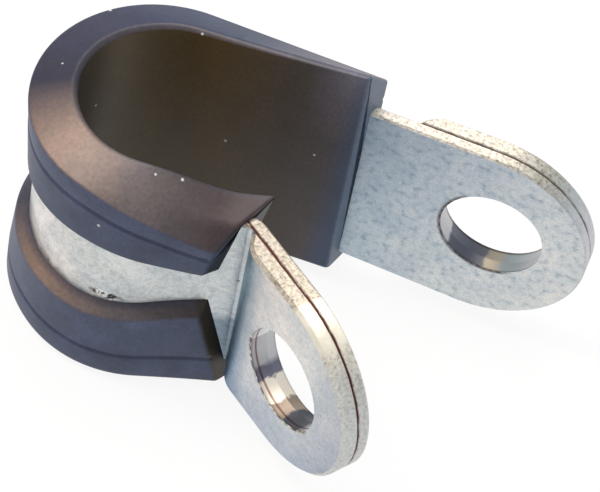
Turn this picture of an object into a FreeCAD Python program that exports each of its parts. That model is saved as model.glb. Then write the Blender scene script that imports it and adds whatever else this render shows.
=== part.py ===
import FreeCAD, Part
import os
from collections import namedtuple
from math import acos, atan2, cos, degrees, pi, radians, sin, sqrt, tan

V = FreeCAD.Vector

# Rubber-lined pipe clamp, opened out and standing on the edge of its lining.
# Millimetres. The origin is the centre of the pipe seat, halfway across the band.
# +Z is the pipe's axis, +X points out of the mouth, the far lug lies on +Y and the near lug on -Y.

# Steel band
BAND_WIDTH = 13.0
BAND_THICKNESS = 0.8
FAR_HOLE_X = 19.5
NEAR_TURN = radians(20.0)
NEAR_LEG = 5.86
NEAR_LUG_ANGLE = radians(35.5)
NEAR_HOLE_REACH = 6.62
NECK_RADIUS = 0.4
EDGE_BREAK = 0.12

# Lugs and their reinforcing plates
HOLE_DIAMETER = 6.4
HOLE_BREAKOUT = 0.3
TIP_REACH = 6.0
FAR_SPREAD_X = 2.8
FAR_SPREAD = 0.62
SPREAD_RADIUS = 20.0
PLATE_THICKNESS = 1.1
PLATE_BACK = 5.95
PLATE_END_RADIUS = 2.0
PLATE_EDGE_BREAK = 0.22

# Rubber lining, a channel that wraps both edges of the band
PIPE_DIAMETER = 10.0
LINING_BASE = 1.2
LIP_THICKNESS = 0.8
UPPER_RIDGE_PROUD = 2.65
LOWER_RIDGE_PROUD = 1.85
RIM_OUTER_PROUD = 1.55
RIM_BEVEL = 0.45
UPPER_LIP_REACH = 2.75
LOWER_LIP_REACH = 3.5
LIP_SLANT = 0.8
GROOVE_WIDTH = 0.4
GROOVE_DEPTH = 0.18
GROOVE_SHARE = 0.36
FAR_LEG = 10.75
FAR_CUT_SKEW = radians(12.0)
NEAR_COVER = 4.25
NEAR_CUT_SKEW = radians(42.0)
NEAR_UPPER_SLOPE = radians(11.3)
NEAR_LOWER_SLOPE = radians(15.6)

# Far end of the lining: its inner side has climbed
FAR_PULL_ANGLE = radians(36.0)
FAR_UPPER_LIFT = 1.65
FAR_LOWER_LIFT = 0.85

# Near end of the lining: the rim has sunk and the lips have drawn together
NEAR_RIM_START = -1.5
NEAR_RIM_STOP = 5.0
NEAR_RIM_DROP = 2.1
NEAR_LIP_START = -4.0
NEAR_LIP_STOP = 4.5
NEAR_OUTER_DROP = 2.8
NEAR_SHOULDER_BULGE = 1.0
NEAR_OUTER_RISE = 0.3
NEAR_LIP_SPREAD = 0.5
NEAR_UPPER_LIP_SHIFT = 0.65
NEAR_LOWER_LIP_SHIFT = 1.6

# Derived sizes
HALF_WIDTH = BAND_WIDTH / 2
SEAT_RADIUS = PIPE_DIAMETER / 2
BAND_RADIUS = SEAT_RADIUS + LINING_BASE
LIP_FACE = BAND_THICKNESS + LIP_THICKNESS
ARC_END = pi + NEAR_TURN
ARC_LENGTH = BAND_RADIUS * ARC_END
FAR_PULL_START = BAND_RADIUS * FAR_PULL_ANGLE
NEAR_PULL_START = ARC_LENGTH + NEAR_LIP_START
LEG_MARGIN = 1.5
SLACK = 5.0


def loop_point(angle, offset):
    """Point on the loop, measured round from the far leg; offset is outward from the band's inner face."""
    radius = BAND_RADIUS + offset
    return V(-radius * sin(angle), radius * cos(angle), 0)


def direction(angle):
    """Direction of travel along the band at an angle of the loop."""
    return V(-cos(angle), -sin(angle), 0)


def outward(angle):
    return V(-sin(angle), cos(angle), 0)


LUG_HEADING = -NEAR_LUG_ANGLE
NEAR_DIRECTION = V(cos(LUG_HEADING), sin(LUG_HEADING), 0)
NEAR_OUTWARD = V(sin(LUG_HEADING), -cos(LUG_HEADING), 0)
NECK_TURN = NEAR_TURN + NEAR_LUG_ANGLE
NECK = loop_point(ARC_END, 0) + direction(ARC_END) * NEAR_LEG
FAR_HOLE = V(FAR_HOLE_X, BAND_RADIUS, 0)
NEAR_HOLE = NECK + NEAR_DIRECTION * NEAR_HOLE_REACH


def line(start, end):
    return Part.LineSegment(start, end).toShape()


def arc(start, middle, end):
    return Part.Arc(start, middle, end).toShape()


def lug_placement(hole, along, out):
    """Local frame of a lug: X towards its tip, Y across the band, Z out of the outer face."""
    across = out.cross(along)
    frame = FreeCAD.Matrix(
        along.x, across.x, out.x, hole.x,
        along.y, across.y, out.y, hole.y,
        along.z, across.z, out.z, hole.z,
        0, 0, 0, 1)
    return FreeCAD.Placement(frame)


# A lug: its local frame, how far its lower side spreads and from where, and the height its punch came out at
Lug = namedtuple("Lug", "frame spread start exit")
FAR_LUG = Lug(
    lug_placement(FAR_HOLE, V(1, 0, 0), V(0, 1, 0)),
    FAR_SPREAD, FAR_SPREAD_X - FAR_HOLE_X, BAND_THICKNESS + PLATE_THICKNESS)
NEAR_LUG = Lug(lug_placement(NEAR_HOLE, NEAR_DIRECTION, NEAR_OUTWARD), 0, -PLATE_BACK, 0)


def band_face_edges(offset):
    """Edges of one face of the band in plan, from the far tip round to the near tip."""
    far_tip = FAR_HOLE + V(TIP_REACH, offset, 0)
    neck_radius = NECK_RADIUS + BAND_THICKNESS - offset
    tangent = neck_radius * tan(NECK_TURN / 2)
    shift = offset * tan(NECK_TURN / 2)
    corner = NECK + outward(ARC_END) * offset - direction(ARC_END) * shift
    leg_end = corner - direction(ARC_END) * tangent
    lug_start = corner + NEAR_DIRECTION * tangent
    bisector = (NEAR_DIRECTION - direction(ARC_END)).normalize()
    neck_middle = corner + bisector * (neck_radius / cos(NECK_TURN / 2) - neck_radius)
    near_tip = NEAR_HOLE + NEAR_DIRECTION * TIP_REACH + NEAR_OUTWARD * offset
    return [
        line(far_tip, loop_point(0, offset)),
        arc(loop_point(0, offset), loop_point(ARC_END / 2, offset), loop_point(ARC_END, offset)),
        line(loop_point(ARC_END, offset), leg_end),
        arc(leg_end, neck_middle, lug_start),
        line(lug_start, near_tip)]


def tip_radius(lug):
    return HALF_WIDTH + lug.spread / 2


def lug_trim(lug):
    """What the lug's outline leaves of a wide blank, in its local frame, where +Y is its lower side."""
    radius = tip_radius(lug)
    tip_centre = V(TIP_REACH - radius, lug.spread / 2, 0)
    back = V(lug.start, -HALF_WIDTH, 0)
    start = V(lug.start, HALF_WIDTH, 0)
    bend_centre = start + V(0, SPREAD_RADIUS, 0)
    apart = bend_centre - tip_centre
    bearing = atan2(apart.y, apart.x) - acos((radius + SPREAD_RADIUS) / apart.Length)
    normal = V(cos(bearing), sin(bearing), 0)
    bend_end = bend_centre - normal * SPREAD_RADIUS
    tip_start = tip_centre + normal * radius
    tip_end = tip_centre - V(0, radius, 0)
    edges = [
        line(bend_end, tip_start),
        arc(tip_start, tip_centre + V(radius, 0, 0), tip_end),
        line(tip_end, back),
        line(back, start)]
    if lug.spread:
        half_way = (normal + V(0, 1, 0)).normalize()
        edges.append(arc(start, bend_centre - half_way * SPREAD_RADIUS, bend_end))
    outline = Part.Wire(Part.__sortEdges__(edges))
    length = TIP_REACH + SLACK - lug.start
    blank = Part.makeBox(length, BAND_WIDTH + 2 * SLACK, 2 * SLACK, back - V(0, SLACK, 0))
    trim = blank.cut(Part.Face(outline).extrude(V(0, 0, 2 * SLACK)))
    trim.translate(V(0, 0, -SLACK))
    return trim


def hole_tool(lug):
    """Hole punched straight through the first piece and breaking out wider through the second."""
    radius = HOLE_DIAMETER / 2
    depth = lug.exit - BAND_THICKNESS
    joint = V(0, 0, BAND_THICKNESS)
    straight = Part.makeCylinder(radius, 2 * SLACK, V(0, 0, -SLACK))
    breakout = Part.makeCone(radius, radius + HOLE_BREAKOUT, abs(depth), joint, V(0, 0, depth))
    return straight.fuse(breakout)


def placed(shape, placement):
    copy = shape.copy()
    copy.Placement = placement.multiply(copy.Placement)
    return copy


def tip_edges(shape, lug, heights, placement):
    """Curved outline edges of a lug tip that lie at the given heights of the lug's local frame."""
    back = placement.inverse()
    found = []
    for edge in shape.Edges:
        if edge.Curve.TypeId != "Part::GeomCircle":
            continue
        middle = back.multVec(edge.valueAt((edge.FirstParameter + edge.LastParameter) / 2))
        on_tip = middle.x > 0 and abs(edge.Curve.Radius - tip_radius(lug)) < 0.01
        if on_tip and any(abs(middle.z - height) < 0.01 for height in heights):
            found.append(edge)
    return found


def band_strip():
    """One strip: the far lug runs straight into the loop; the near leg turns at the neck into its lug."""
    inner = band_face_edges(0)
    outer = band_face_edges(BAND_THICKNESS)
    far_end = line(outer[0].Vertexes[0].Point, inner[0].Vertexes[0].Point)
    near_end = line(inner[-1].Vertexes[-1].Point, outer[-1].Vertexes[-1].Point)
    outline = Part.Wire(Part.__sortEdges__(inner + outer + [far_end, near_end]))
    strip = Part.Face(outline).extrude(V(0, 0, BAND_WIDTH + FAR_SPREAD))
    strip.translate(V(0, 0, -HALF_WIDTH - FAR_SPREAD))
    reach = 8 * SLACK
    bottom = -HALF_WIDTH - SLACK
    below_loop = Part.makeBox(reach, 2 * reach, SLACK, V(FAR_SPREAD_X - reach, -reach, bottom))
    below_near_lug = Part.makeBox(reach, reach, SLACK, V(0, -reach, bottom))
    strip = strip.cut(below_loop).cut(below_near_lug)
    for lug in (FAR_LUG, NEAR_LUG):
        strip = strip.cut(placed(lug_trim(lug), lug.frame)).cut(placed(hole_tool(lug), lug.frame)).Solids[0]
    return strip.removeSplitter()


def steel_band(strip):
    """The strip with its long edges broken; a chamfer runs on from the far tip round the whole outline."""
    return strip.makeChamfer(EDGE_BREAK, tip_edges(strip, FAR_LUG, (0, BAND_THICKNESS), FAR_LUG.frame))


def lug_plate(lug):
    """Reinforcing plate on the outer face of a lug, with its inner end rounded over."""
    top = BAND_THICKNESS + PLATE_THICKNESS
    run = sqrt(PLATE_END_RADIUS ** 2 - (PLATE_END_RADIUS - PLATE_THICKNESS) ** 2)
    half_sweep = atan2(run, PLATE_END_RADIUS - PLATE_THICKNESS) / 2
    centre = V(run - PLATE_BACK, 0, top - PLATE_END_RADIUS)
    top_start = V(run - PLATE_BACK, 0, top)
    middle = centre + V(-sin(half_sweep), 0, cos(half_sweep)) * PLATE_END_RADIUS
    bottom_start = V(-PLATE_BACK, 0, BAND_THICKNESS)
    outline = Part.Wire([
        arc(bottom_start, middle, top_start),
        line(top_start, V(TIP_REACH, 0, top)),
        line(V(TIP_REACH, 0, top), V(TIP_REACH, 0, BAND_THICKNESS)),
        line(V(TIP_REACH, 0, BAND_THICKNESS), bottom_start)])
    plate = Part.Face(outline).extrude(V(0, BAND_WIDTH + lug.spread, 0))
    plate.translate(V(0, -HALF_WIDTH, 0))
    plate = plate.cut(lug_trim(lug)).cut(hole_tool(lug)).Solids[0]
    local = FreeCAD.Placement()
    plate = plate.makeChamfer(PLATE_EDGE_BREAK, tip_edges(plate, lug, (top,), local))
    plate = plate.makeChamfer(EDGE_BREAK, tip_edges(plate, lug, (BAND_THICKNESS,), local))
    return placed(plate, lug.frame)


def share(value, start, stop):
    """Part of the way from start to stop, kept between 0 and 1."""
    return min(max((value - start) / (stop - start), 0.0), 1.0)


def eased(value, start, stop):
    part = share(value, start, stop)
    return part * part * (3 - 2 * part)


def channel_profile(along):
    """Corners of the lining's section: (outward from the band's inner face, height)."""
    past_loop = along - ARC_LENGTH
    climb = share(-along, -FAR_PULL_START, FAR_LEG) ** 1.2
    sink = eased(past_loop, NEAR_RIM_START, NEAR_RIM_STOP)
    draw = eased(past_loop, NEAR_LIP_START, NEAR_LIP_STOP)
    top_ridge = HALF_WIDTH + UPPER_RIDGE_PROUD + climb * FAR_UPPER_LIFT - sink * NEAR_RIM_DROP
    low_ridge = -HALF_WIDTH - LOWER_RIDGE_PROUD + climb * FAR_LOWER_LIFT
    top_outer = HALF_WIDTH + RIM_OUTER_PROUD - draw * NEAR_OUTER_DROP
    low_outer = -HALF_WIDTH - RIM_OUTER_PROUD + draw * NEAR_OUTER_RISE
    top_free = HALF_WIDTH - UPPER_LIP_REACH - draw * NEAR_UPPER_LIP_SHIFT
    low_free = -HALF_WIDTH + LOWER_LIP_REACH + draw * NEAR_LOWER_LIP_SHIFT
    top_groove = top_outer - GROOVE_SHARE * (top_outer - top_free)
    low_groove = low_outer + GROOVE_SHARE * (low_free - low_outer)
    top_face = LIP_FACE + draw * NEAR_LIP_SPREAD
    ridge = -LINING_BASE + RIM_BEVEL
    shoulder = (BAND_THICKNESS + LIP_FACE) / 2
    slope = (top_outer - top_ridge) / (top_face - ridge)
    half_groove = GROOVE_WIDTH / 2
    slot = BAND_THICKNESS / 2
    return [
        (-LINING_BASE, low_ridge + RIM_BEVEL),
        (-LINING_BASE, top_ridge - RIM_BEVEL * (1 - sink) * (1 - climb)),
        (ridge, top_ridge),
        (shoulder, top_ridge + slope * (shoulder - ridge) + draw * NEAR_SHOULDER_BULGE),
        (top_face, top_outer),
        (top_face, top_groove + half_groove),
        (top_face - GROOVE_DEPTH, top_groove),
        (top_face, top_groove - half_groove),
        (top_face, top_free),
        (BAND_THICKNESS, top_free - LIP_SLANT),
        (slot, top_free - LIP_SLANT),
        (slot, low_free + LIP_SLANT),
        (BAND_THICKNESS, low_free + LIP_SLANT),
        (LIP_FACE, low_free),
        (LIP_FACE, low_groove + half_groove),
        (LIP_FACE - GROOVE_DEPTH, low_groove),
        (LIP_FACE, low_groove - half_groove),
        (LIP_FACE, low_outer),
        (ridge, low_ridge)]


def section(along):
    """Closed wire of the lining's section; along is negative on the far leg and 0 where the loop starts."""
    angle = share(along, 0, ARC_LENGTH) * ARC_END
    base = loop_point(angle, 0) + direction(angle) * (along - angle * BAND_RADIUS)
    corners = [base + outward(angle) * out + V(0, 0, height) for out, height in channel_profile(along)]
    return Part.makePolygon(corners + corners[:1])


def drawn_length(start, stop, steps):
    """Solid through evenly spaced sections."""
    sections = [section(start + (stop - start) * step / steps) for step in range(steps + 1)]
    return Part.makeLoft(sections, True, False)


def far_end_cutter():
    cutter = Part.makeBox(2 * SLACK, 4 * SLACK, 8 * SLACK, V(0, -2 * SLACK, -4 * SLACK))
    cutter.rotate(V(0, 0, 0), V(0, 0, 1), -degrees(FAR_CUT_SKEW))
    cutter.translate(V(FAR_LEG, BAND_RADIUS, 0))
    return cutter


def near_end_cutter():
    """Wedge whose two slanted faces meet at mid-width; it runs across the lining on the skew."""
    heading = direction(ARC_END)
    across = outward(ARC_END) - heading * tan(NEAR_CUT_SKEW)
    root = loop_point(ARC_END, 0) + heading * NEAR_COVER - across * SLACK
    top = root + heading * BAND_WIDTH * tan(NEAR_UPPER_SLOPE) + V(0, 0, BAND_WIDTH)
    low = root + heading * BAND_WIDTH * tan(NEAR_LOWER_SLOPE) - V(0, 0, BAND_WIDTH)
    beyond = heading * 4 * SLACK
    outline = Part.makePolygon([root, top, top + beyond, low + beyond, low, root])
    return Part.Face(outline).extrude(across * 2 * SLACK)


def rubber_lining(strip):
    """Channel bent round the loop, with both of its ends pulled out of shape and cut on the skew."""
    far_part = drawn_length(-FAR_LEG - LEG_MARGIN, FAR_PULL_START, 10)
    sweep = degrees((NEAR_PULL_START - FAR_PULL_START) / BAND_RADIUS)
    loop = Part.Face(section(FAR_PULL_START)).revolve(V(0, 0, 0), V(0, 0, 1), sweep)
    near_part = drawn_length(NEAR_PULL_START, ARC_LENGTH + NEAR_COVER + SLACK, 12)
    lining = far_part.fuse([loop, near_part])
    lining = lining.cut(far_end_cutter()).cut(near_end_cutter()).cut(strip)
    return lining.removeSplitter()


def save(name, shape):
    shape.exportStep(os.path.join("parts", name + ".step"))
    print(name, "valid", shape.isValid(), "solids", len(shape.Solids), "volume", round(shape.Volume, 3))


os.makedirs("parts", exist_ok=True)
strip_shape = band_strip()
save("steel_band", steel_band(strip_shape))
save("rubber_lining", rubber_lining(strip_shape))
save("far_lug_plate", lug_plate(FAR_LUG))
save("near_lug_plate", lug_plate(NEAR_LUG))
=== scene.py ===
from math import cos, hypot, pi, radians, sin, tan

import bpy
from mathutils import Matrix, Vector


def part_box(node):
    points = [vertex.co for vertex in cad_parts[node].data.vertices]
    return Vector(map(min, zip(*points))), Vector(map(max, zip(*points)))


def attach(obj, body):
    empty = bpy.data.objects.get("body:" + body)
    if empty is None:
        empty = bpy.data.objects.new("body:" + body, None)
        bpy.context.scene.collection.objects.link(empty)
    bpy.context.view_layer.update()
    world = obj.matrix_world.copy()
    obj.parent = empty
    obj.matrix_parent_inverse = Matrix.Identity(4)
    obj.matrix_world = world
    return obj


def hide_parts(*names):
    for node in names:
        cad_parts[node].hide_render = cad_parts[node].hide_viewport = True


# Looks of a rubber-lined pipe clamp, opened out: its lining's mesh, its materials, light and camera

# Metres in a millimetre. A length that isn't times MM is in millimetres.
MM = 0.001

# Camera, as angles round the object; the roll turns the camera's right side upwards
CAMERA_AZIMUTH = radians(10.77)
CAMERA_ELEVATION = radians(51.62)
CAMERA_ROLL = radians(12.38)
CAMERA_DISTANCE = 200.4 * MM
CAMERA_TARGET = Vector((9.61, -0.53, 1.05)) * MM
CLIP_START = 1 * MM
CLIP_END = 10000 * MM
LENS = 205.4
SENSOR_WIDTH = 36.0

# Steel band and lugs, as in the solids
BAND_WIDTH = 13.0
BAND_THICKNESS = 0.8
PLATE_THICKNESS = 1.1
HOLE_RADIUS = 3.2
FAR_HOLE_X = 19.5
FAR_SPREAD_X = 2.8
FAR_SPREAD_SLOPE = 0.039
NEAR_TURN = radians(20.0)
NEAR_LEG = 5.86
NEAR_LUG_ANGLE = radians(35.5)
NEAR_HOLE_REACH = 6.62

# Rubber lining, as in its solid
PIPE_RADIUS = 5.0
LINING_BASE = 1.2
LIP_THICKNESS = 0.8
UPPER_RIDGE_PROUD = 2.65
LOWER_RIDGE_PROUD = 1.85
RIM_OUTER_PROUD = 1.55
UPPER_LIP_REACH = 2.75
LOWER_LIP_REACH = 3.5
LIP_SLANT = 0.8
GROOVE_WIDTH = 0.4
GROOVE_SHARE = 0.36
FAR_LEG = 10.75
FAR_CUT_SKEW = radians(12.0)
FAR_PULL_ANGLE = radians(36.0)
FAR_CLIMB_POWER = 1.2
FAR_UPPER_LIFT = 1.65
FAR_LOWER_LIFT = 0.85
NEAR_COVER = 4.25
NEAR_CUT_SKEW = radians(42.0)
NEAR_UPPER_SLOPE = radians(11.3)
NEAR_LOWER_SLOPE = radians(15.6)
NEAR_RIM_START = -1.5
NEAR_RIM_STOP = 5.0
NEAR_RIM_DROP = 2.1
NEAR_LIP_START = -4.0
NEAR_LIP_STOP = 4.5
NEAR_OUTER_DROP = 2.8
NEAR_SHOULDER_BULGE = 1.0
NEAR_OUTER_RISE = 0.3
NEAR_LIP_SPREAD = 0.5
NEAR_UPPER_LIP_SHIFT = 0.65
NEAR_LOWER_LIP_SHIFT = 1.6

# What the scene's lining has of its own: a smaller bevel and groove, and on the loop an upper lip that hugs
# the band and a lower lip that stands out a little. It comes and goes between these angles, in radians.
RIM_BEVEL = 0.3
GROOVE_DEPTH = 0.12
UPPER_LIP_HUG = 0.42
LOWER_LIP_FLARE = 0.2
HUG_START = (0.5, 1.4)
HUG_STOP = (1.75, 2.5)

# Roundings of the lining's section and cut ends, and the largest share of an edge that a rounding takes
RIDGE_ROUNDING = 0.25
BEVEL_ROUNDING = 0.1
SHOULDER_ROUNDING = 0.5
UPPER_EDGE_ROUNDING = 0.12
LOWER_EDGE_ROUNDING = 0.3
GROOVE_ROUNDING = 0.06
LIP_ROUNDING = 0.15
SLANT_ROUNDING = 0.04
END_ROUNDING = 0.2
LARGEST_SHARE = 0.45

# Steps of the lining's mesh; the end zones are swept towards the skew cuts
CORNER_STEPS = 4
SWEEP_STEP = 0.22
END_ZONE = 1.0
END_TRIES = 5
END_TURNS = (0, pi / 6, pi / 3, pi / 2)
FAR_END_STEPS = 6
NEAR_END_STEPS = 22

# Derived sizes
HALF_WIDTH = BAND_WIDTH / 2
BAND_RADIUS = PIPE_RADIUS + LINING_BASE
LIP_FACE = BAND_THICKNESS + LIP_THICKNESS
ARC_END = pi + NEAR_TURN
ARC_LENGTH = BAND_RADIUS * ARC_END
FAR_LIMIT = -FAR_LEG + END_ZONE
NEAR_LIMIT = ARC_LENGTH + END_ZONE


def share(value, start, stop):
    """The value's way from start to stop, as 0 to 1."""
    return min(max((value - start) / (stop - start), 0.0), 1.0)


def eased(value, start, stop):
    """The same, but slow at both ends."""
    part = share(value, start, stop)
    return part * part * (3 - 2 * part)


def add_camera():
    back = Vector((
        sin(CAMERA_AZIMUTH) * cos(CAMERA_ELEVATION),
        -cos(CAMERA_AZIMUTH) * cos(CAMERA_ELEVATION),
        sin(CAMERA_ELEVATION)))
    level = Vector((cos(CAMERA_AZIMUTH), sin(CAMERA_AZIMUTH), 0))
    upright = back.cross(level)
    right = level * cos(CAMERA_ROLL) + upright * sin(CAMERA_ROLL)
    up = back.cross(right)
    turn = Matrix((right, up, back)).transposed().to_4x4()
    data = bpy.data.cameras.new("camera")
    data.lens = LENS
    data.sensor_width = SENSOR_WIDTH
    data.sensor_fit = "HORIZONTAL"
    data.clip_start = CLIP_START
    data.clip_end = CLIP_END
    camera = bpy.data.objects.new("camera", data)
    camera.matrix_world = Matrix.Translation(CAMERA_TARGET + back * CAMERA_DISTANCE) @ turn
    bpy.context.scene.collection.objects.link(camera)
    bpy.context.scene.camera = camera


# Rubber lining

# Masks that the rubber's material blends by: red is the inner wall, green the rim, blue the painted shade
# lines
LOOKS = {
    "wall": (1, 0, 0),
    "bevel": (0.4, 0.6, 0),
    "rim": (0, 1, 0),
    "lip": (0, 0, 0),
    "groove": (0, 0, 0.15),
    "edge": (0, 0, 1),
    "slant": (0, 0.5, 0.5),
    "hidden": (0, 0, 1)}


def lining_corners(along):
    """Corners of the lining's section at a length along the band, in order round it.

    Each is (outward, height, rounding, 1 if it lies on the outer surface or 0, look of the edge after it).
    The outward distance is from the band's inner face.
    """
    past_loop = along - ARC_LENGTH
    angle = along / BAND_RADIUS
    far_pull = BAND_RADIUS * FAR_PULL_ANGLE
    climb = share(-along, -far_pull, FAR_LEG) ** FAR_CLIMB_POWER
    sink = eased(past_loop, NEAR_RIM_START, NEAR_RIM_STOP)
    draw = eased(past_loop, NEAR_LIP_START, NEAR_LIP_STOP)
    hug = eased(angle, *HUG_START) * (1 - eased(angle, *HUG_STOP))
    top_ridge = HALF_WIDTH + UPPER_RIDGE_PROUD + climb * FAR_UPPER_LIFT - sink * NEAR_RIM_DROP
    low_ridge = -HALF_WIDTH - LOWER_RIDGE_PROUD + climb * FAR_LOWER_LIFT
    top_outer = HALF_WIDTH + RIM_OUTER_PROUD - draw * NEAR_OUTER_DROP
    low_outer = -HALF_WIDTH - RIM_OUTER_PROUD + draw * NEAR_OUTER_RISE
    top_free = HALF_WIDTH - UPPER_LIP_REACH - draw * NEAR_UPPER_LIP_SHIFT
    low_free = -HALF_WIDTH + LOWER_LIP_REACH + draw * NEAR_LOWER_LIP_SHIFT
    top_groove = top_outer - GROOVE_SHARE * (top_outer - top_free)
    low_groove = low_outer + GROOVE_SHARE * (low_free - low_outer)
    half_groove = GROOVE_WIDTH / 2
    top_face = LIP_FACE + draw * NEAR_LIP_SPREAD
    low_face = LIP_FACE + hug * LOWER_LIP_FLARE
    groove_face = top_face - hug * UPPER_LIP_HUG * GROOVE_SHARE
    ridge = -LINING_BASE + RIM_BEVEL
    bevel = RIM_BEVEL * (1 - sink) * (1 - climb)
    middle = (BAND_THICKNESS + LIP_FACE) / 2
    slope = (top_outer - top_ridge) / (top_face - ridge)
    shoulder = top_ridge + slope * (middle - ridge) + draw * NEAR_SHOULDER_BULGE
    band_low = -HALF_WIDTH - max(-along - FAR_SPREAD_X, 0) * FAR_SPREAD_SLOPE
    return [
        (-LINING_BASE, low_ridge + RIM_BEVEL, RIDGE_ROUNDING, 1, "wall"),
        (-LINING_BASE, 0, 0, 1, "wall"),
        (-LINING_BASE, top_ridge - bevel, BEVEL_ROUNDING, 1, "bevel"),
        (ridge, top_ridge, RIDGE_ROUNDING, 1, "rim"),
        (middle, shoulder, SHOULDER_ROUNDING, 1, "rim"),
        (top_face, top_outer, UPPER_EDGE_ROUNDING, 1, "lip"),
        (groove_face, top_groove + half_groove, GROOVE_ROUNDING, 1, "groove"),
        (groove_face - GROOVE_DEPTH, top_groove, GROOVE_ROUNDING, 1, "groove"),
        (groove_face, top_groove - half_groove, GROOVE_ROUNDING, 1, "lip"),
        (top_face - hug * UPPER_LIP_HUG, top_free, LIP_ROUNDING, 1, "edge"),
        (BAND_THICKNESS, top_free - LIP_SLANT, SLANT_ROUNDING, 0, "hidden"),
        (BAND_THICKNESS, HALF_WIDTH, 0, 0, "hidden"),
        (0, HALF_WIDTH, 0, 0, "hidden"),
        (0, 0, 0, 0, "hidden"),
        (0, band_low, 0, 0, "hidden"),
        (BAND_THICKNESS, band_low, 0, 0, "hidden"),
        (BAND_THICKNESS, low_free + LIP_SLANT, SLANT_ROUNDING, 0, "slant"),
        (middle, low_free + LIP_SLANT / 2, 0, 1, "rim"),
        (LIP_FACE, low_free, LIP_ROUNDING, 1, "lip"),
        (low_face, low_groove + half_groove, GROOVE_ROUNDING, 1, "groove"),
        (low_face - GROOVE_DEPTH, low_groove, GROOVE_ROUNDING, 1, "groove"),
        (low_face, low_groove - half_groove, GROOVE_ROUNDING, 1, "lip"),
        (low_face, low_outer, LOWER_EDGE_ROUNDING, 1, "rim"),
        (ridge, low_ridge, LOWER_EDGE_ROUNDING, 1, "wall")]


def rounded_section(along):
    """Section with rounded corners, each point as (2D place, 1 on the outer surface or 0, mask of look)."""
    corners = lining_corners(along)
    points = []
    for index, (out, height, rounding, outer, look) in enumerate(corners):
        place = Vector((out, height))
        before = corners[index - 1]
        after = corners[(index + 1) % len(corners)]
        if not rounding:
            points.append((place, outer, Vector(LOOKS[look])))
            continue
        to_before = Vector(before[:2]) - place
        to_after = Vector(after[:2]) - place
        reach = min(rounding, LARGEST_SHARE * to_before.length, LARGEST_SHARE * to_after.length)
        start = place + to_before.normalized() * reach
        stop = place + to_after.normalized() * reach
        for step in range(CORNER_STEPS):
            part = step / (CORNER_STEPS - 1)
            bend = start * (1 - part) ** 2 + place * 2 * part * (1 - part) + stop * part ** 2
            mask = Vector(LOOKS[before[4]]).lerp(Vector(LOOKS[look]), part)
            points.append((bend, outer, mask))
    return points


def band_place(along, out, height):
    """Point at a length along the band, a distance outward from its inner face and a height."""
    angle = share(along, 0, ARC_LENGTH) * ARC_END
    outward = Vector((-sin(angle), cos(angle), 0))
    heading = Vector((-cos(angle), -sin(angle), 0))
    centre = outward * BAND_RADIUS + heading * (along - angle * BAND_RADIUS)
    return centre + outward * out + Vector((0, 0, height))


def far_end(out, height):
    """Length along the band at which the lining's far cut lies; it is the same at every height."""
    return -FAR_LEG - out * tan(FAR_CUT_SKEW)


def near_end(out, height):
    """Length along the band at which the lining's near cut lies."""
    slope = NEAR_UPPER_SLOPE if height > 0 else NEAR_LOWER_SLOPE
    return ARC_LENGTH + NEAR_COVER - out * tan(NEAR_CUT_SKEW) + abs(height) * tan(slope)


def cut_length(end, index, start):
    """Length along the band at which one point of the section meets a cut, found by closing in on it."""
    along = start
    for _ in range(END_TRIES):
        place = rounded_section(along)[index][0]
        along = end(place.x, place.y)
    return along


def end_rings(end, limit, steps):
    """Rings from the plain sweep's limit to a cut end. The last ones draw in, so its edge is round."""
    way = 1 if end(0, 0) > limit else -1
    lengths = [cut_length(end, index, limit) for index in range(len(rounded_section(limit)))]
    rings = []
    for step in range(1, steps):
        ring = []
        for index, length in enumerate(lengths):
            along = limit + (length - way * END_ROUNDING - limit) * step / steps
            place, _, mask = rounded_section(along)[index]
            ring.append((along, place, mask))
        rings.append(ring)
    for turn in END_TURNS:
        ring = []
        for index, length in enumerate(lengths):
            section = rounded_section(length)
            place, outer, mask = section[index]
            chord = section[(index + 1) % len(section)][0] - section[index - 1][0]
            inward = Vector((chord.y, -chord.x)).normalized() * END_ROUNDING * (1 - cos(turn))
            drawn = place + inward * outer
            along = end(drawn.x, drawn.y) - way * END_ROUNDING * (1 - sin(turn))
            ring.append((along, drawn, mask))
        rings.append(ring)
    return rings


def lining_rings():
    """Rings of the lining from its far end to its near one, each point as (along, 2D place, mask)."""
    count = round((NEAR_LIMIT - FAR_LIMIT) / SWEEP_STEP)
    rings = end_rings(far_end, FAR_LIMIT, FAR_END_STEPS)[::-1]
    for step in range(count + 1):
        along = FAR_LIMIT + (NEAR_LIMIT - FAR_LIMIT) * step / count
        rings.append([(along, place, mask) for place, _, mask in rounded_section(along)])
    return rings + end_rings(near_end, NEAR_LIMIT, NEAR_END_STEPS)


def lining_faces(rows, width):
    """Four-sided faces between the rings, one face on the far end and two on the near end.

    The near cut bends at mid-height, so its two faces meet there, from the wall's middle to the slot's.
    """
    faces = []
    for row in range(rows - 1):
        first = row * width
        for column in range(width):
            after = (column + 1) % width
            faces.append((first + column, first + after, first + width + after, first + width + column))
    faces.append(tuple(range(width))[::-1])
    last = (rows - 1) * width
    wall_middle, slot_middle = [
        index for index, (place, _, _) in enumerate(rounded_section(NEAR_LIMIT)) if place.y == 0]
    faces.append(tuple(range(last + wall_middle, last + slot_middle + 1)))
    faces.append((*range(last + slot_middle, last + width), *range(last, last + wall_middle + 1)))
    return faces


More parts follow.
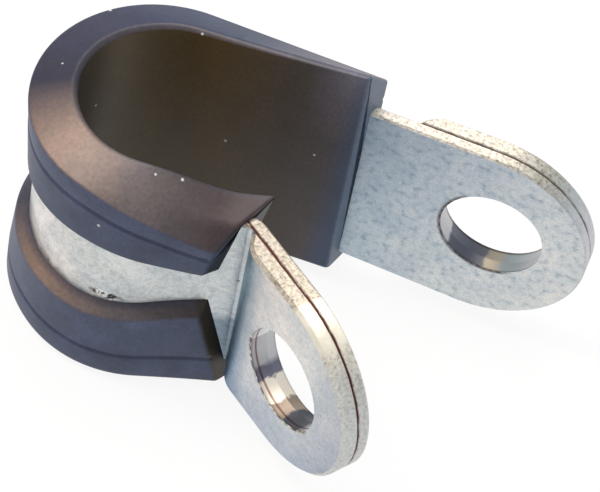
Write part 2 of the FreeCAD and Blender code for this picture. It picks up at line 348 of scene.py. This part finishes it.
def add_lining(material):
    rings = lining_rings()
    points = [point for ring in rings for point in ring]
    places = [band_place(along, *place) * MM for along, place, _ in points]
    mesh = bpy.data.meshes.new("rubber_channel")
    mesh.from_pydata(places, [], lining_faces(len(rings), len(rings[0])))
    mesh.materials.append(material)
    mesh.attributes.new("look", "FLOAT_COLOR", "POINT").data.foreach_set(
        "color", [value for _, _, mask in points for value in (*mask, 1)])
    mesh.attributes.new("sweep", "FLOAT_VECTOR", "POINT").data.foreach_set(
        "vector", [value * MM for along, place, _ in points for value in (along, *place)])
    mesh.shade_smooth()
    lining = bpy.data.objects.new("rubber_channel", mesh)
    bpy.context.scene.collection.objects.link(lining)
    lining.modifiers.new("even_shading", "WEIGHTED_NORMAL")
    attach(lining, "root")
    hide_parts("rubber_lining")


# Nodes of the materials

# Sockets of the Mix node for colours, which share their names with its other sockets
MIX_FACTOR = 0
MIX_FIRST = 6
MIX_SECOND = 7
MIX_RESULT = 2


def add_node(tree, kind, inputs=None, **settings):
    """Node whose inputs are linked where they are sockets, and set where they are values."""
    node = tree.nodes.new(kind)
    for name, value in settings.items():
        setattr(node, name, value)
    for name, value in (inputs or {}).items():
        if isinstance(value, bpy.types.NodeSocket):
            tree.links.new(value, node.inputs[name])
        else:
            node.inputs[name].default_value = value
    return node


def ramp(tree, factor, stops):
    node = add_node(tree, "ShaderNodeValToRGB", {"Fac": factor})
    elements = node.color_ramp.elements
    while len(elements) < len(stops):
        elements.new(1)
    for element, (position, colour) in zip(elements, stops):
        element.position = position
        element.color = (*colour, 1)
    return node.outputs["Color"]


def mix(tree, factor, first, second, blend="MIX"):
    first, second = [(*colour, 1) if isinstance(colour, tuple) else colour for colour in (first, second)]
    inputs = {MIX_FACTOR: factor, MIX_FIRST: first, MIX_SECOND: second}
    return add_node(tree, "ShaderNodeMix", inputs, data_type="RGBA", blend_type=blend).outputs[MIX_RESULT]


def tint(tree, first, second):
    """One colour multiplied by another."""
    return mix(tree, 1.0, first, second, "MULTIPLY")


def calc(tree, operation, *values):
    return add_node(tree, "ShaderNodeMath", dict(enumerate(values)), operation=operation).outputs["Value"]


def vector_calc(tree, operation, *values):
    return add_node(tree, "ShaderNodeVectorMath", dict(enumerate(values)), operation=operation).outputs


def split(tree, vector):
    return add_node(tree, "ShaderNodeSeparateXYZ", {"Vector": vector}).outputs


def spread(tree, value, start, stop):
    """The value's way from start to stop, as 0 to 1."""
    inputs = {"Value": value, "From Min": start, "From Max": stop}
    return add_node(tree, "ShaderNodeMapRange", inputs).outputs["Result"]


def zone(tree, length, start, stop):
    """A length's way between two lengths in millimetres, as 0 to 1."""
    return spread(tree, length, start * MM, stop * MM)


def noise(tree, place, scale, detail=3.0, roughness=0.6, distortion=0.0):
    inputs = {
        "Vector": place, "Scale": scale, "Detail": detail, "Roughness": roughness, "Distortion": distortion}
    return add_node(tree, "ShaderNodeTexNoise", inputs).outputs["Fac"]


def wobble(tree, value, width):
    """Noise turned into a value that swings about zero, by half of the width each way."""
    return calc(tree, "MULTIPLY_ADD", value, width, -width / 2)


def object_place(tree):
    return add_node(tree, "ShaderNodeTexCoord").outputs["Object"]


def new_material(name, metallic, roughness):
    material = bpy.data.materials.new(name)
    material.use_nodes = True
    tree = material.node_tree
    shader = tree.nodes["Principled BSDF"]
    shader.inputs["Metallic"].default_value = metallic
    shader.inputs["Roughness"].default_value = roughness
    return material, tree, shader


def add_bump(tree, shader, height, strength, distance):
    bump = add_node(tree, "ShaderNodeBump", {"Height": height, "Strength": strength, "Distance": distance})
    tree.links.new(bump.outputs["Normal"], shader.inputs["Normal"])


# Material of the rubber

# Tones along the lining, by share of the way between these lengths along the band
TONE_START = -11.0
TONE_STOP = 27.0
# Rim: painted light on black rubber, a slate-blue painted reflection at the back and a warm painted
# highlight
RIM_PAINTED_LIGHT = [
    (0.0, (0.1, 0.095, 0.12)),
    (0.13, (0.05, 0.055, 0.09)),
    (0.2, (0.016, 0.03, 0.068)),
    (0.29, (0.03, 0.044, 0.088)),
    (0.42, (0.027, 0.03, 0.06)),
    (0.585, (0.017, 0.017, 0.034)),
    (0.7, (0.2, 0.14, 0.11)),
    (0.82, (0.11, 0.094, 0.098)),
    (0.95, (0.045, 0.03, 0.033))]
# Inner wall: its own dark olive-brown, lighter and purplish towards the far end as painted light
WALL_TONES_AND_LIGHT = [
    (0.01, (0.06, 0.052, 0.066)),
    (0.12, (0.06, 0.045, 0.035)),
    (0.25, (0.085, 0.05, 0.01)),
    (0.42, (0.08, 0.05, 0.012)),
    (0.55, (0.05, 0.04, 0.03))]

# Lips, whose slate blue is painted reflection on black rubber, and painted shade in grooves and along lip
# edges
LIP_REFLECTION_TONES = [(0.3, (0.028, 0.043, 0.09)), (0.7, (0.042, 0.06, 0.122))]
SHADE_LINE_COLOUR = (0.016, 0.011, 0.018)

# Painted light: a lighter upper corner of the inner wall, towards the far end
CORNER_ALONG = (-7.0, -10.7)
CORNER_HEIGHT = (4.0, 10.0)
CORNER_PAINTED_LIGHT = (0.16, 0.15, 0.19)

# Painted reflection: a bluish strip of the inner wall along the far end, which leans with the height
WALL_END_ALONG = (-8.9, -10.35)
WALL_END_LEAN = 0.064
WALL_END_REFLECTION = (0.03, 0.055, 0.115)

# Cut face at the far end, whose blue is painted reflection
FAR_CUT_DEPTH = (0.15, 0.02)
FAR_CUT_REFLECTION = (0.08, 0.12, 0.19)

# Painted shade: dark near end of the lower lip, along from where the cut meets the lip's face
LOWER_END_ALONG = (-0.15, 0.1)
LOWER_END_HEIGHT = (0.0, -0.5)
LOWER_END_SHADE = (0.04, 0.03, 0.015)

# Blotches, grain and light specks all over
BLOTCHES = [(0.3, (0.86, 0.86, 0.86)), (0.7, (1.14, 1.12, 1.1))]
GRAIN = [(0.3, (0.86, 0.86, 0.86)), (0.7, (1.14, 1.14, 1.14))]
SPECK_SCALE = 420
SPECK_SIZE = [(0.03, (1, 1, 1)), (0.05, (0, 0, 0))]
SPECK_COLOUR = (0.5, 0.52, 0.55)


def rubber_material():
    material, tree, shader = new_material("moulded_rubber", metallic=0, roughness=0.45)
    shader.inputs["Specular IOR Level"].default_value = 0.4
    place = object_place(tree)
    look = add_node(tree, "ShaderNodeAttribute", attribute_name="look").outputs["Color"]
    masks = add_node(tree, "ShaderNodeSeparateColor", {"Color": look}).outputs
    sweep = split(tree, add_node(tree, "ShaderNodeAttribute", attribute_name="sweep").outputs["Vector"])
    along = sweep["X"]
    out = sweep["Y"]
    height = sweep["Z"]

    whole_way = zone(tree, along, TONE_START, TONE_STOP)
    # The wall's own tone, with painted light along it
    wall = ramp(tree, whole_way, WALL_TONES_AND_LIGHT)
    # Painted light in the wall's upper corner towards the far end
    corner = calc(tree, "MULTIPLY", zone(tree, along, *CORNER_ALONG), zone(tree, height, *CORNER_HEIGHT))
    wall = mix(tree, corner, wall, CORNER_PAINTED_LIGHT)
    # Painted reflection in a bluish strip along the wall's far end
    leaning = calc(tree, "MULTIPLY_ADD", height, WALL_END_LEAN, along)
    wall = mix(tree, zone(tree, leaning, *WALL_END_ALONG), wall, WALL_END_REFLECTION)

    cloud = noise(tree, place, 450, detail=4)
    # The lips' slate blue is painted reflection, and the rim's tones are painted light
    colour = mix(tree, masks["Green"], ramp(tree, cloud, LIP_REFLECTION_TONES), ramp(tree, whole_way, RIM_PAINTED_LIGHT))
    # Painted shade at the near end of the lower lip
    lip_end = near_end(LIP_FACE, 0)
    near_cut = calc(tree, "MULTIPLY_ADD", height, tan(NEAR_LOWER_SLOPE), along)
    lower_end_shade = calc(
        tree, "MULTIPLY",
        zone(tree, near_cut, *[lip_end + reach for reach in LOWER_END_ALONG]),
        zone(tree, height, *LOWER_END_HEIGHT))
    colour = mix(tree, lower_end_shade, colour, LOWER_END_SHADE)
    colour = mix(tree, masks["Red"], colour, wall)
    # Painted shade in the grooves and along the lips' free edges
    colour = mix(tree, masks["Blue"], colour, SHADE_LINE_COLOUR)
    # Painted reflection on the far cut face
    far_cut = calc(tree, "MULTIPLY_ADD", out, tan(FAR_CUT_SKEW), along)
    far_face = zone(tree, far_cut, *[depth - FAR_LEG for depth in FAR_CUT_DEPTH])
    colour = mix(tree, far_face, colour, FAR_CUT_REFLECTION)

    colour = tint(tree, colour, ramp(tree, cloud, BLOTCHES))
    colour = tint(tree, colour, ramp(tree, noise(tree, place, 4200, detail=2, roughness=0.5), GRAIN))
    cells = add_node(tree, "ShaderNodeTexVoronoi", {"Vector": place, "Scale": SPECK_SCALE})
    colour = mix(tree, ramp(tree, cells.outputs["Distance"], SPECK_SIZE), colour, SPECK_COLOUR)
    tree.links.new(colour, shader.inputs["Base Color"])
    add_bump(tree, shader, noise(tree, place, 2500), strength=0.25, distance=0.03 * MM)
    return material


# Materials of the steel

# A lug is its hole's centre, its local directions, how far behind the hole its own looks reach, and the
# direction in its frame on whose side the hole's edge is smooth
FAR_LUG = {
    "hole": Vector((FAR_HOLE_X, BAND_RADIUS, 0)),
    "along": Vector((1, 0, 0)),
    "across": Vector((0, 0, -1)),
    "out": Vector((0, 1, 0)),
    "reach": 19.4,
    "smooth_side": (1, -0.7, 0)}
NEAR_DIRECTION = Vector((cos(NEAR_LUG_ANGLE), -sin(NEAR_LUG_ANGLE), 0))
NEAR_LUG = {
    "hole": band_place(ARC_LENGTH + NEAR_LEG, 0, 0) + NEAR_DIRECTION * NEAR_HOLE_REACH,
    "along": NEAR_DIRECTION,
    "across": Vector((0, 0, 1)),
    "out": Vector((-sin(NEAR_LUG_ANGLE), -cos(NEAR_LUG_ANGLE), 0)),
    "reach": 5.98,
    "smooth_side": (0.35, 1, 0)}

# Spots, clouds, grain and pits of a zinc coat
SPOTS = [(0.26, (0.66, 0.72, 0.79)), (0.4, (0.9, 0.93, 0.95)), (0.6, (1.04, 1.03, 1.02))]
CLOUDS = [(0.3, (0.86, 0.9, 0.94)), (0.7, (1.08, 1.07, 1.05))]
ZINC_GRAIN = [(0.3, (0.84, 0.86, 0.88)), (0.65, (1.08, 1.07, 1.06))]
PITS = [(0.235, (0.2, 0.18, 0.18)), (0.26, (1, 1, 1))]

# Rough metal along a hole's edge: how far it reaches from the wall, how ragged it is, and its gaps' colour
RIM_REACH = 0.16
RIM_RAGGED = 0.2
RIM_GAPS = (0.06, 0.05, 0.05)

# Lengths from the hole between which the tones of a lug's faces and of its cut edge go
FACE_TONE_SPAN = (-9.0, 6.0)
EDGE_TONE_SPAN = (-6.0, 6.0)

# Cut edge: its grain, its burnished part, and the joint between band and plate as a dark line that wanders
EDGE_GRAIN = [(0.34, (0.35, 0.33, 0.33)), (0.44, (0.75, 0.73, 0.7)), (0.62, (1.1, 1.1, 1.1))]
BURNISH = [(0.3, (1.0, 0.98, 0.95)), (0.6, (1.15, 1.15, 1.15))]
BURNISH_RAGGED = 0.04
SEAM_HEIGHT = (0.5, 1.1)
SEAM_SHAPE = [(0.32, (0, 0, 0)), (0.42, (1, 1, 1)), (0.56, (1, 1, 1)), (0.66, (0, 0, 0))]
SEAM_WANDER = 0.2

# How wide the painted reflection streaks of a hole's wall wander, in radians
STREAK_RAGGED = 0.24

# Strip between the lips: strength of its spots, wrinkles with painted shade in their creases, painted light
# and shade along X, the lower lip's shadow by height, and the crumpled spot with painted highlights and
# shade
STRIP_SPOTS = 0.45
CREASE_SHADE = [
    (0.43, (0.74, 0.73, 0.71)),
    (0.475, (0.66, 0.63, 0.6)),
    (0.5, (0.74, 0.73, 0.71)),
    (0.65, (0.82, 0.8, 0.78))]
STRIP_SPAN = (-7.0, 3.0)
STRIP_PAINTED_LIGHT = [
    (0.0, (0.66, 0.72, 0.73)),
    (0.22, (1.05, 1.0, 0.97)),
    (0.5, (0.86, 0.88, 0.88)),
    (1.0, (0.74, 0.79, 0.82))]
SHADOW_HEIGHT = (-1.9, -0.9)
SHADOW_RAGGED = 1.2
SHADOW = [(0.0, (0.4, 0.47, 0.54)), (0.8, (1, 1, 1))]
CRUMPLE = Vector((0.2, -7.0, -1.55))
CRUMPLE_SHAPE = (0.8, 0.8, 2.6)
CRUMPLE_FADE = (1.0, 0.6)
FOLD_LIGHT_AND_SHADE = [
    (0.42, (0.05, 0.045, 0.04)),
    (0.5, (0.6, 0.58, 0.55)),
    (0.56, (1, 1, 1)),
    (0.64, (0.3, 0.28, 0.26))]

# Looks of each lug. A face has tones along it and shades across it, the zinc's colour with painted light
# and shade, the strength of its spots and the colour of the beads at its hole. An edge has tones along it,
# the cut steel's cream with painted light, a burnished share along it, and the colour of its seam. A hole's
# wall has painted reflections in streaks round it, by share of a turn, and shades by depth.
LUG_LOOKS = {
    "far": {
        "face": {
            "tones_and_light": [
                (0.0, (0.42, 0.49, 0.56)),
                (0.5, (0.6, 0.63, 0.65)),
                (1.0, (0.68, 0.68, 0.67))],
            "painted_shades": [(0.0, (0.93, 0.95, 0.98)), (1.0, (1.08, 1.07, 1.04))],
            "spots": 1.0,
            "beads": (0.22, 0.22, 0.24)},
        "edge": {
            "tones_and_light": [
                (0.0, (0.72, 0.68, 0.61)),
                (0.5, (0.68, 0.65, 0.57)),
                (0.7, (0.46, 0.46, 0.42)),
                (0.84, (0.44, 0.48, 0.5)),
                (1.0, (0.55, 0.56, 0.6))],
            "burnish": [(0.0, (0, 0, 0)), (0.7, (0, 0, 0)), (0.85, (0.7, 0.7, 0.7))],
            "seam": (0.13, 0.1, 0.085)},
        "wall": {
            "reflection_streaks": [
                (0.48, (0.5, 0.52, 0.55)),
                (0.6, (0.42, 0.44, 0.46)),
                (0.69, (0.3, 0.35, 0.36)),
                (0.705, (0.4, 0.35, 0.28)),
                (0.745, (0.36, 0.31, 0.24)),
                (0.755, (0.12, 0.12, 0.14)),
                (0.8, (0.09, 0.1, 0.13)),
                (0.885, (0.12, 0.13, 0.17)),
                (0.895, (0.55, 0.55, 0.57))],
            "depths": [
                (0.0, (0.3, 0.3, 0.33)),
                (0.07, (1, 1, 1)),
                (0.85, (1, 1, 1)),
                (0.95, (0.25, 0.2, 0.2))]}},
    "near": {
        "face": {
            "tones_and_light": [
                (0.22, (0.16, 0.3, 0.42)),
                (0.29, (0.28, 0.4, 0.48)),
                (0.4, (0.8, 0.76, 0.73)),
                (0.7, (0.7, 0.7, 0.68)),
                (1.0, (0.46, 0.48, 0.52))],
            "painted_shades": [(0.0, (0.6, 0.68, 0.8)), (0.35, (0.85, 0.88, 0.94)), (0.7, (1, 1, 1))],
            "spots": 0.45,
            "beads": (0.8, 0.74, 0.62)},
        "edge": {
            "tones_and_light": [
                (0.0, (0.46, 0.42, 0.36)),
                (0.48, (0.54, 0.5, 0.42)),
                (0.49, (0.72, 0.69, 0.58)),
                (0.72, (0.72, 0.69, 0.59)),
                (0.85, (0.62, 0.62, 0.58)),
                (1.0, (0.55, 0.57, 0.57))],
            "burnish": [
                (0.47, (0, 0, 0)),
                (0.475, (1, 1, 1)),
                (0.7, (1, 1, 1)),
                (0.76, (0.2, 0.2, 0.2)),
                (1.0, (0.5, 0.5, 0.5))],
            "seam": (0.1, 0.03, 0.025)},
        "wall": {
            "reflection_streaks": [
                (0.1, (0.5, 0.5, 0.52)),
                (0.118, (0.16, 0.16, 0.21)),
                (0.15, (0.2, 0.2, 0.26)),
                (0.155, (0.95, 0.88, 0.76)),
                (0.222, (0.93, 0.84, 0.7)),
                (0.228, (0.3, 0.24, 0.19)),
                (0.275, (0.46, 0.38, 0.3)),
                (0.283, (0.1, 0.11, 0.13)),
                (0.36, (0.14, 0.16, 0.19)),
                (0.4, (0.78, 0.8, 0.84)),
                (0.85, (0.78, 0.82, 0.88)),
                (0.92, (0.3, 0.3, 0.33)),
                (0.96, (0.78, 0.79, 0.82))],
            "depths": [
                (0.0, (0.6, 0.6, 0.6)),
                (0.08, (1, 1, 1)),
                (0.76, (1, 1, 1)),
                (0.82, (0.3, 0.14, 0.12)),
                (0.88, (1, 1, 1)),
                (0.95, (0.8, 0.8, 0.8)),
                (1.0, (0.35, 0.35, 0.37))]}}}


def lug_coordinates(tree, lug):
    """Place in a lug's local frame: X towards its tip, Y across the band, Z out of the outer face."""
    turn = Matrix((lug["along"], lug["across"], lug["out"])).transposed().to_euler()
    inputs = {"Vector": object_place(tree), "Location": lug["hole"] * MM, "Rotation": turn}
    return add_node(tree, "ShaderNodeMapping", inputs, vector_type="TEXTURE").outputs["Vector"]


def mottle(tree, place, strength):
    """Soft spots of a zinc coat, as strong as given, with its clouds, grain and pits, to multiply by."""
    spots = ramp(tree, noise(tree, place, 2100, detail=0.8, roughness=0.5), SPOTS)
    spots = mix(tree, strength, (1, 1, 1), spots)
    coat = tint(tree, spots, ramp(tree, noise(tree, place, 420, detail=2, roughness=0.5), CLOUDS))
    coat = tint(tree, coat, ramp(tree, noise(tree, place, 6500, detail=2), ZINC_GRAIN))
    return tint(tree, coat, ramp(tree, noise(tree, place, 1300, detail=2, roughness=0.5), PITS))


def hole_rim(tree, place, lug, light):
    """Rough metal along one side of a hole's edge, as a mask and a colour."""
    flat = vector_calc(tree, "MULTIPLY", place, (1, 1, 0))["Vector"]
    radius = vector_calc(tree, "LENGTH", flat)["Value"]
    beads = noise(tree, place, 3200, detail=2)
    edge = calc(tree, "MULTIPLY_ADD", beads, -RIM_RAGGED * MM, radius)
    ring = zone(tree, edge, HOLE_RADIUS + RIM_REACH, HOLE_RADIUS)
    side = zone(tree, vector_calc(tree, "DOT_PRODUCT", place, lug["smooth_side"])["Value"], 0, -1)
    colour = ramp(tree, beads, [(0.42, RIM_GAPS), (0.6, light)])
    return calc(tree, "MULTIPLY", ring, side), colour


def zinc_material(name, lug, tones_and_light, painted_shades, spots, beads):
    """Flat zinc-plated face of a lug, with painted light and shade along and across it."""
    material, tree, shader = new_material(name, metallic=0.85, roughness=0.42)
    place = lug_coordinates(tree, lug)
    parts = split(tree, place)
    colour = ramp(tree, zone(tree, parts["X"], *FACE_TONE_SPAN), tones_and_light)
    colour = tint(tree, colour, ramp(tree, zone(tree, parts["Y"], -HALF_WIDTH, HALF_WIDTH), painted_shades))
    colour = tint(tree, colour, mottle(tree, place, spots))
    ring, rough_metal = hole_rim(tree, place, lug, beads)
    colour = mix(tree, ring, colour, rough_metal)
    tree.links.new(colour, shader.inputs["Base Color"])
    add_bump(tree, shader, noise(tree, place, 3200, detail=2), strength=0.3, distance=0.02 * MM)
    return material


def sheared_edge_material(name, lug, tones_and_light, burnish, seam):
    """Cut edge of a lug, grainy apart from its burnished part, with the dark seam in it and painted light
    along it.
    """
    material, tree, shader = new_material(name, metallic=0.5, roughness=0.4)
    place = lug_coordinates(tree, lug)
    parts = split(tree, place)
    along = zone(tree, parts["X"], *EDGE_TONE_SPAN)
    grains = noise(tree, place, 4600, detail=4, roughness=0.7)
    rough = ramp(tree, grains, EDGE_GRAIN)
    smooth = ramp(tree, noise(tree, place, 900), BURNISH)
    ragged = wobble(tree, noise(tree, place, 1200, detail=2, roughness=0.5), BURNISH_RAGGED)
    burnished = ramp(tree, calc(tree, "ADD", along, ragged), burnish)
    colour = tint(tree, ramp(tree, along, tones_and_light), mix(tree, burnished, rough, smooth))
    wander = wobble(tree, noise(tree, place, 700), SEAM_WANDER * MM)
    height = zone(tree, calc(tree, "ADD", parts["Z"], wander), *SEAM_HEIGHT)
    colour = mix(tree, ramp(tree, height, SEAM_SHAPE), colour, seam)
    tree.links.new(colour, shader.inputs["Base Color"])
    add_bump(tree, shader, grains, strength=0.5, distance=0.04 * MM)
    return material


def hole_wall_material(name, lug, reflection_streaks, depths):
    """Punched wall of a hole, with painted reflections in streaks round it by angle, and shades down it by
    depth.
    """
    material, tree, shader = new_material(name, metallic=0.6, roughness=0.42)
    place = lug_coordinates(tree, lug)
    parts = split(tree, place)
    angle = calc(tree, "ARCTAN2", parts["Y"], parts["X"])
    ragged = wobble(tree, noise(tree, place, 1800), STREAK_RAGGED)
    turn = spread(tree, calc(tree, "ADD", angle, ragged), -pi, pi)
    depth = zone(tree, parts["Z"], 0, BAND_THICKNESS + PLATE_THICKNESS)
    colour = tint(tree, ramp(tree, turn, reflection_streaks), ramp(tree, depth, depths))
    tree.links.new(colour, shader.inputs["Base Color"])
    return material


def strip_material():
    """Brighter zinc of the band where it shows between the lips, with painted shade in brownish wrinkles.
    """
    material, tree, shader = new_material("zinc_strip", metallic=0.85, roughness=0.28)
    place = object_place(tree)
    parts = split(tree, place)
    wrinkles = noise(tree, place, 520, detail=4, roughness=0.65, distortion=1.2)
    # Painted light and shade along X
    painted_shades = ramp(tree, zone(tree, parts["X"], *STRIP_SPAN), STRIP_PAINTED_LIGHT)
    colour = tint(tree, ramp(tree, wrinkles, CREASE_SHADE), painted_shades)
    ragged = calc(tree, "MULTIPLY_ADD", wrinkles, SHADOW_RAGGED * MM, parts["Z"])
    colour = tint(tree, colour, ramp(tree, zone(tree, ragged, *SHADOW_HEIGHT), SHADOW))
    offset = vector_calc(tree, "SUBTRACT", place, CRUMPLE * MM)["Vector"]
    offset = vector_calc(tree, "MULTIPLY", offset, CRUMPLE_SHAPE)["Vector"]
    crumple = zone(tree, vector_calc(tree, "LENGTH", offset)["Value"], *CRUMPLE_FADE)
    # Painted highlights and shade in the crumpled spot's folds
    fold_light_and_shade = ramp(tree, noise(tree, place, 1500, detail=2, distortion=1.0), FOLD_LIGHT_AND_SHADE)
    colour = mix(tree, crumple, colour, fold_light_and_shade)
    colour = tint(tree, colour, mottle(tree, place, STRIP_SPOTS))
    tree.links.new(colour, shader.inputs["Base Color"])
    add_bump(tree, shader, wrinkles, strength=0.5, distance=0.12 * MM)
    return material


def steel_looks():
    """Materials by side and by look. The strip between the lips is the same on both sides."""
    strip = strip_material()
    looks = {}
    for side, lug in (("far", FAR_LUG), ("near", NEAR_LUG)):
        given = LUG_LOOKS[side]
        looks[side] = {
            "face": zinc_material(f"zinc_{side}_face", lug, **given["face"]),
            "edge": sheared_edge_material(f"sheared_{side}_edge", lug, **given["edge"]),
            "wall": hole_wall_material(f"punched_{side}_wall", lug, **given["wall"]),
            "strip": strip}
    return looks


# Which facet gets which look. A facet's facing is how squarely it faces out of its lug, as a cosine, and
# its tilt is the same towards the band's edges.
FACE_FACING = 0.95
WALL_FACING = 0.5
STRIP_TILT = 0.5
PLATE_END_TILT = 0.3

# How far outside the hole's radius its wall reaches, how near the joint's plane a hidden facet lies, and
# how far behind the hole a plate's rounded inner end starts
HOLE_MARGIN = 0.38
JOINT_REACH = 0.07
PLATE_END_START = 3.5


def steel_slot(corners, normal, lug):
    """Which look a facet of a steel part gets, from where it lies in its lug's frame."""
    offsets = [corner - lug["hole"] for corner in corners]
    middle = sum(offsets, Vector()) / len(offsets)
    along = middle.dot(lug["along"])
    across = middle.dot(lug["across"])
    out = middle.dot(lug["out"])
    facing = abs(normal.dot(lug["out"]))
    tilt = abs(normal.z)
    if max(offset.dot(lug["along"]) for offset in offsets) < -lug["reach"] and tilt < STRIP_TILT:
        return "strip"
    if hypot(along, across) < HOLE_RADIUS + HOLE_MARGIN and facing < WALL_FACING:
        return "wall"
    if facing > FACE_FACING:
        return "strip" if abs(out - BAND_THICKNESS) < JOINT_REACH else "face"
    if along < -PLATE_END_START and tilt < PLATE_END_TILT:
        return "face"
    return "edge"


def dress_steel(node, looks):
    mesh = node.data
    mesh.materials.clear()
    names = list(looks["far"])
    for side in ("far", "near"):
        for name in names:
            mesh.materials.append(looks[side][name])
    turn = node.matrix_world.to_3x3()
    for polygon in mesh.polygons:
        corners = [node.matrix_world @ mesh.vertices[index].co / MM for index in polygon.vertices]
        near = sum(corner.y for corner in corners) < 0
        slot = steel_slot(corners, turn @ polygon.normal, NEAR_LUG if near else FAR_LUG)
        polygon.material_index = names.index(slot) + len(names) * near


# Stage

# The floor is a plain one for light, and mostly white for the camera and for what mirrors it
FLOOR_SIZE = 2000 * MM
FLOOR_COLOUR = (0.85, 0.85, 0.85, 1)
WHITE = (1, 1, 1, 1)
WHITE_SHARE = 0.9


def add_floor(height):
    bpy.ops.mesh.primitive_plane_add(size=FLOOR_SIZE, location=(0, 0, height))
    floor = bpy.context.object
    floor.name = "floor"
    material = bpy.data.materials.new("floor_white")
    material.use_nodes = True
    tree = material.node_tree
    tree.nodes.clear()
    rays = add_node(tree, "ShaderNodeLightPath").outputs
    seen = calc(tree, "MAXIMUM", rays["Is Camera Ray"], rays["Is Glossy Ray"])
    shown = calc(tree, "MULTIPLY", seen, WHITE_SHARE)
    lit = add_node(tree, "ShaderNodeBsdfDiffuse", {"Color": FLOOR_COLOUR})
    white = add_node(tree, "ShaderNodeEmission", {"Color": WHITE, "Strength": 1.0})
    both = add_node(tree, "ShaderNodeMixShader", {0: shown, 1: lit.outputs[0], 2: white.outputs[0]})
    output = add_node(tree, "ShaderNodeOutputMaterial", {"Surface": both.outputs[0]})
    output.is_active_output = True
    floor.data.materials.append(material)


def add_area_light(name, direction, distance, size, power, colour):
    data = bpy.data.lights.new(name, "AREA")
    data.shape = "DISK"
    data.size = size
    data.energy = power
    data.color = colour
    light = bpy.data.objects.new(name, data)
    place = CAMERA_TARGET + Vector(direction).normalized() * distance
    light.location = place
    light.rotation_euler = (CAMERA_TARGET - place).to_track_quat("-Z", "Y").to_euler()
    bpy.context.scene.collection.objects.link(light)


def set_world(colour, strength):
    """Studio light of one colour, which the camera sees as white."""
    world = bpy.data.worlds.new("studio")
    world.use_nodes = True
    tree = world.node_tree
    rays = add_node(tree, "ShaderNodeLightPath").outputs
    studio = tree.nodes["Background"]
    studio.inputs["Color"].default_value = (*colour, 1)
    studio.inputs["Strength"].default_value = strength
    white = add_node(tree, "ShaderNodeBackground", {"Color": WHITE, "Strength": 1.0})
    both = add_node(tree, "ShaderNodeMixShader", {
        0: rays["Is Camera Ray"], 1: studio.outputs[0], 2: white.outputs[0]})
    tree.links.new(both.outputs[0], tree.nodes["World Output"].inputs["Surface"])
    bpy.context.scene.world = world


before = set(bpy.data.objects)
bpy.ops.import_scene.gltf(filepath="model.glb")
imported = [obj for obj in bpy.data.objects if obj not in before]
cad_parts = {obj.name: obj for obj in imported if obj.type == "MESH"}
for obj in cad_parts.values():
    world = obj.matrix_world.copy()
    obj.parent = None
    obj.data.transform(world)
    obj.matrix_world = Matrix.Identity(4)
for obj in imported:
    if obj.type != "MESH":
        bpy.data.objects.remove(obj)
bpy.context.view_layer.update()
add_camera()

add_lining(rubber_material())
looks = steel_looks()
for name in ("steel_band", "far_lug_plate", "near_lug_plate"):
    dress_steel(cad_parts[name], looks)

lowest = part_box("rubber_lining")[0].z
add_floor(lowest)
set_world(colour=(0.9, 0.95, 1.0), strength=0.6)
add_area_light(
    "overhead", direction=(-0.1, 0.3, 0.95), distance=350 * MM, size=300 * MM, power=0.8,
    colour=(1, 0.95, 0.88))
add_area_light(
    "sheen", direction=(-0.49, -0.04, 0.84), distance=300 * MM, size=100 * MM, power=0.6,
    colour=(1, 0.82, 0.72))

bpy.context.scene.view_settings.view_transform = "Standard"
